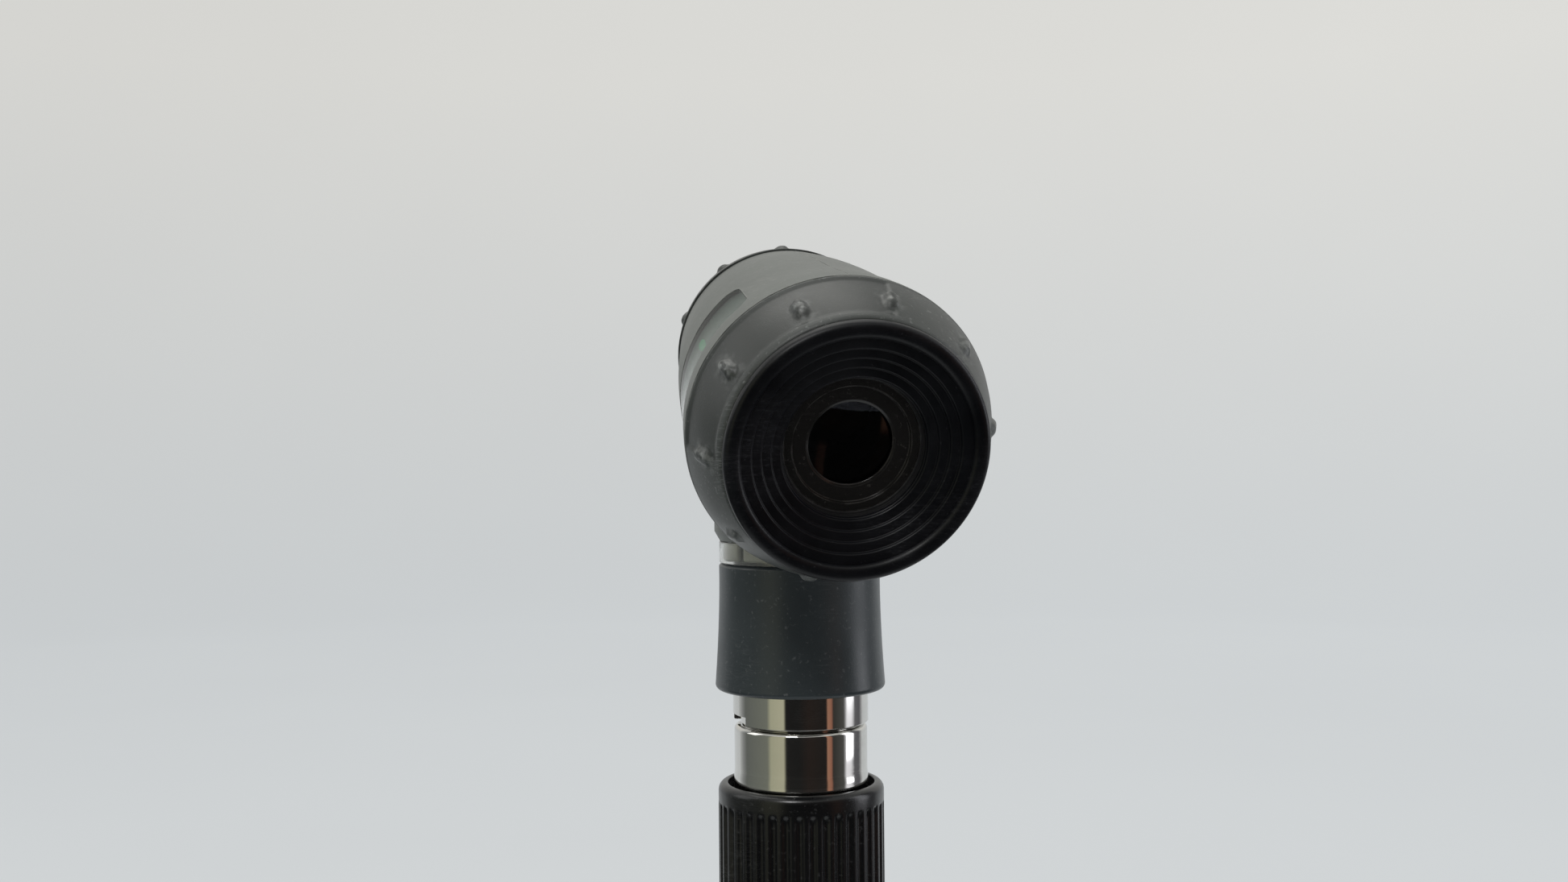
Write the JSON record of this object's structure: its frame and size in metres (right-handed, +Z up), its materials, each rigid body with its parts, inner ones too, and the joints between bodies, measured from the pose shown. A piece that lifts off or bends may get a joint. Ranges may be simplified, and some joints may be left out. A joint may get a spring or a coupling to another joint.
{
  "type": "otoscope",
  "caption": "Ear examination instrument: a viewing head with a stepped eyepiece and a pull-off ear tip, on a throat-light base and a battery handle with a ribbed dimmer ring.",
  "frame": {"origin": "centre of the flat end of the tail cap, the face the instrument stands on", "axes": "+Z up the handle towards the head, -Y towards the viewer's eye at the eyepiece, +Y towards the ear tip, +X to the viewer's right"},
  "size_m": [0.0495, 0.1129, 0.2338],
  "materials": {
    "handle_chrome": "bright plated, finely knurled grip",
    "neck_chrome": "polished",
    "ring_black": "satin, rubbed on the rib tops",
    "contact_brass": "bright",
    "track_carbon": "matt carbon film",
    "button_green": "satin",
    "spring_steel": "drawn wire",
    "insulator": "matt",
    "battery_wrap": "shrink wrap",
    "terminal_steel": "turned",
    "seal_rubber": "matt",
    "collar_slate": "satin",
    "clear_band": "clear moulded plastic",
    "lamp_glass": "clear",
    "shell_grey": "fine moulded texture, worn",
    "tube_black": "matt",
    "lens_glass": "coated",
    "retainer_black": "satin",
    "focus_grey": "satin, scuffed",
    "eyepiece_rubber": "smooth",
    "fibre_clear": "polished fibre ends",
    "speculum_black": "satin",
    "window_smoke": "smoked clear plastic"
  },
  "bodies": {
    "handle": {"handle_tube": "handle_chrome", "neck_ring": "neck_chrome", "resistor_track": "track_carbon", "contact_insulator": "insulator", "battery_cell": "battery_wrap", "battery_terminal": "terminal_steel", "contact_spring": "spring_steel", "tail_spring": "spring_steel"},
    "rheostat_ring": {"rheostat_ring": "ring_black", "rheostat_wiper": "contact_brass", "button_spring": "spring_steel"},
    "lock_button": {"lock_button": "button_green"},
    "contact_pin": {"contact_pin": "contact_brass"},
    "tail_washer": {"tail_washer": "terminal_steel"},
    "tail_cap": {"tail_cap": "handle_chrome", "tail_seal": "seal_rubber"},
    "base": {"bayonet_stub": "neck_chrome", "base_collar": "collar_slate", "light_band": "clear_band", "lamp_holder": "insulator", "lamp_base": "terminal_steel", "lamp_bulb": "lamp_glass"},
    "head": {"shell_left": "shell_grey", "shell_right": "shell_grey", "window_right": "window_smoke", "window_left": "window_smoke", "shell_screws": "terminal_steel", "air_port": "terminal_steel", "optical_tube": "tube_black", "front_window": "lens_glass", "objective_lens": "lens_glass", "eye_lens": "lens_glass", "lens_retainer": "retainer_black", "eyepiece_holder": "tube_black", "eyepiece_cushion": "eyepiece_rubber", "nose_hub": "tube_black", "nose_cone": "collar_slate", "nozzle": "terminal_steel", "fibre_ring": "fibre_clear", "nose_baffle": "tube_black", "light_guide": "fibre_clear", "condenser": "lens_glass", "condenser_mount": "insulator"},
    "focus_ring": {"focus_ring": "focus_grey", "cam_sleeve": "tube_black"},
    "lens_carriage": {"lens_carriage": "tube_black", "relay_lens": "lens_glass"},
    "grip_dial": {"grip_dial": "focus_grey"},
    "ejector": {"ejector": "collar_slate"},
    "speculum": {"speculum": "speculum_black"}
  },
  "joints": [
    {"name": "dimmer_turn", "type": "hinge", "parent": "handle", "child": "rheostat_ring", "pos_m": [0, 0, 0.125], "axis": [0, 0, 1], "range_deg": [0, 100]},
    {"name": "lock_press", "type": "slide", "parent": "rheostat_ring", "child": "lock_button", "axis": [0, -1, 0], "range_m": [0, 0.0012], "stiffness_N_per_m": 400, "springref_m": -0.002},
    {"name": "pin_press", "type": "slide", "parent": "handle", "child": "contact_pin", "axis": [0, 0, 1], "range_m": [-0.0015, 0], "stiffness_N_per_m": 500, "springref_m": 0.003, "deforming": ["contact_spring"]},
    {"name": "cap_rise", "type": "slide", "parent": "handle", "child": "tail_washer", "axis": [0, 0, -1], "range_m": [0, 0.00451], "deforming": ["tail_spring"]},
    {"name": "cap_turn", "type": "hinge", "parent": "tail_washer", "child": "tail_cap", "pos_m": [0, 0, 0.007], "axis": [0, 0, -1], "range_deg": [0, 1080]},
    {"name": "bayonet_twist", "type": "hinge", "parent": "handle", "child": "base", "pos_m": [0, 0, 0.15], "axis": [0, 0, 1], "range_deg": [0, 30]},
    {"name": "head_lift", "type": "slide", "parent": "base", "child": "head", "axis": [0, 0, 1], "range_m": [0, 0.02]},
    {"name": "focus_turn", "type": "hinge", "parent": "head", "child": "focus_ring", "pos_m": [0, 0, 0.2104], "axis": [0, -0.9505, -0.3107], "range_deg": [-20, 20]},
    {"name": "focus_slide", "type": "slide", "parent": "head", "child": "lens_carriage", "axis": [0, -0.9505, -0.3107], "range_m": [-0.00251, 0.00251]},
    {"name": "dial_turn", "type": "hinge", "parent": "head", "child": "grip_dial", "pos_m": [0, 0, 0.2104], "axis": [0, -0.9505, -0.3107], "range_deg": [0, 40]},
    {"name": "eject_slide", "type": "slide", "parent": "head", "child": "ejector", "axis": [0, 0.9505, 0.3107], "range_m": [0, 0.00201]},
    {"name": "tip_pull", "type": "slide", "parent": "ejector", "child": "speculum", "axis": [0, 0.9505, 0.3107], "range_m": [0, 0.015]}
  ],
  "couplings": [
    {"joint": "cap_rise", "follows": "cap_turn", "m_per_rad": 0.00023873},
    {"joint": "focus_slide", "follows": "focus_turn", "m_per_rad": 0.007162},
    {"joint": "eject_slide", "follows": "dial_turn", "m_per_rad": 0.0028648}
  ]
}
